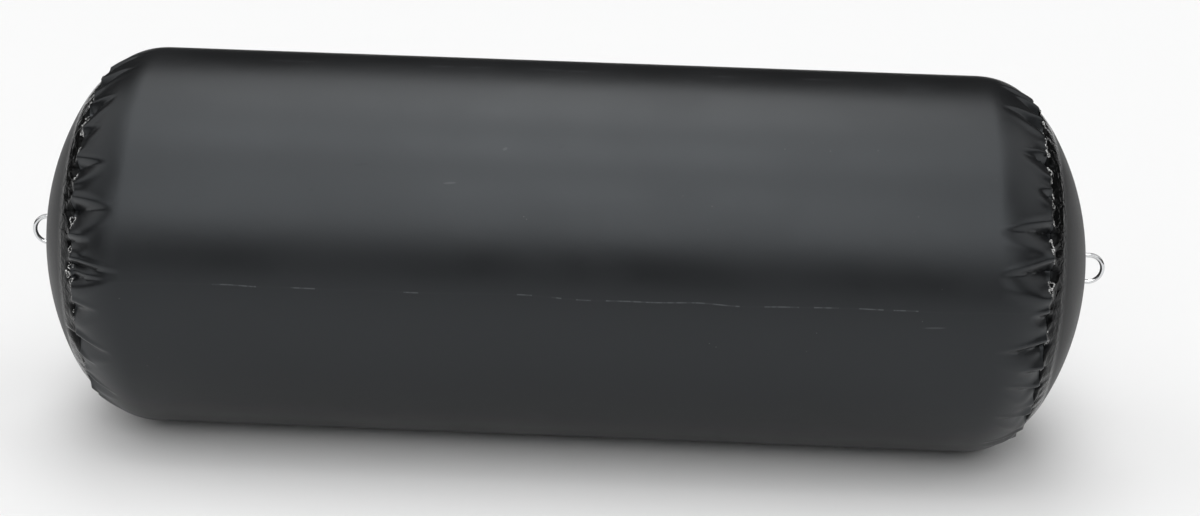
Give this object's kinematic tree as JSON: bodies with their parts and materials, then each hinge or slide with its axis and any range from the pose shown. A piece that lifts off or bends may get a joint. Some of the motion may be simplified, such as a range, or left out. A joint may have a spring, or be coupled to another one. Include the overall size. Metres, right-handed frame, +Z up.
{
  "type": "pneumatic fender",
  "caption": "Inflated cylindrical fender of black coated fabric, ends gathered in pleats over domed discs, a steel D-ring at each end and an inflation valve.",
  "frame": {"origin": "on the floor, under the middle of the tube, at the middle of the flat strip that the fender stands on", "axes": "+X along the tube towards the end with the valve, +Z up, so -Y is the side towards the viewer"},
  "size_m": [1.8696, 0.65, 0.646],
  "materials": {
    "tube_fabric": "satin",
    "disc_fabric": "satin",
    "patch_fabric": "satin",
    "strap_webbing": "woven, matt",
    "polished_steel": "polished",
    "valve_plastic": "moulded",
    "spring_steel": "drawn wire",
    "valve_rubber": "matt"
  },
  "bodies": {
    "root": {"tube": "tube_fabric", "end_disc_left": "disc_fabric", "end_disc_right": "disc_fabric", "ring_patch_left": "patch_fabric", "ring_patch_right": "patch_fabric", "ring_strap_left": "strap_webbing", "ring_strap_right": "strap_webbing", "valve_body": "valve_plastic", "valve_spring": "spring_steel", "valve_cap_seal": "valve_rubber", "valve_tether": "valve_rubber"},
    "ring_left": {"d_ring_left": "polished_steel"},
    "ring_right": {"d_ring_right": "polished_steel"},
    "poppet": {"valve_poppet": "valve_plastic"},
    "cap": {"valve_cap": "valve_plastic"}
  },
  "joints": [
    {"name": "ring_left_swing", "type": "hinge", "parent": "root", "child": "ring_left", "pos_m": [-0.8918, 0, 0.32097], "axis": [0, 0, 1], "range_deg": [-80, 80]},
    {"name": "ring_right_swing", "type": "hinge", "parent": "root", "child": "ring_right", "pos_m": [0.8918, 0, 0.32097], "axis": [0, 0, 1], "range_deg": [-80, 80]},
    {"name": "valve_cap_turn", "type": "hinge", "parent": "root", "child": "cap", "pos_m": [0.86326, 0.14049, 0.37211], "axis": [0.9446, 0.3085, 0.1123], "range_deg": [0, 90]},
    {"name": "valve_poppet_push", "type": "slide", "parent": "root", "child": "poppet", "axis": [-0.9446, -0.3085, -0.1123], "range_m": [0, 0.005], "stiffness_N_per_m": 400, "springref_m": -0.005, "deforming": ["valve_spring"]}
  ]
}
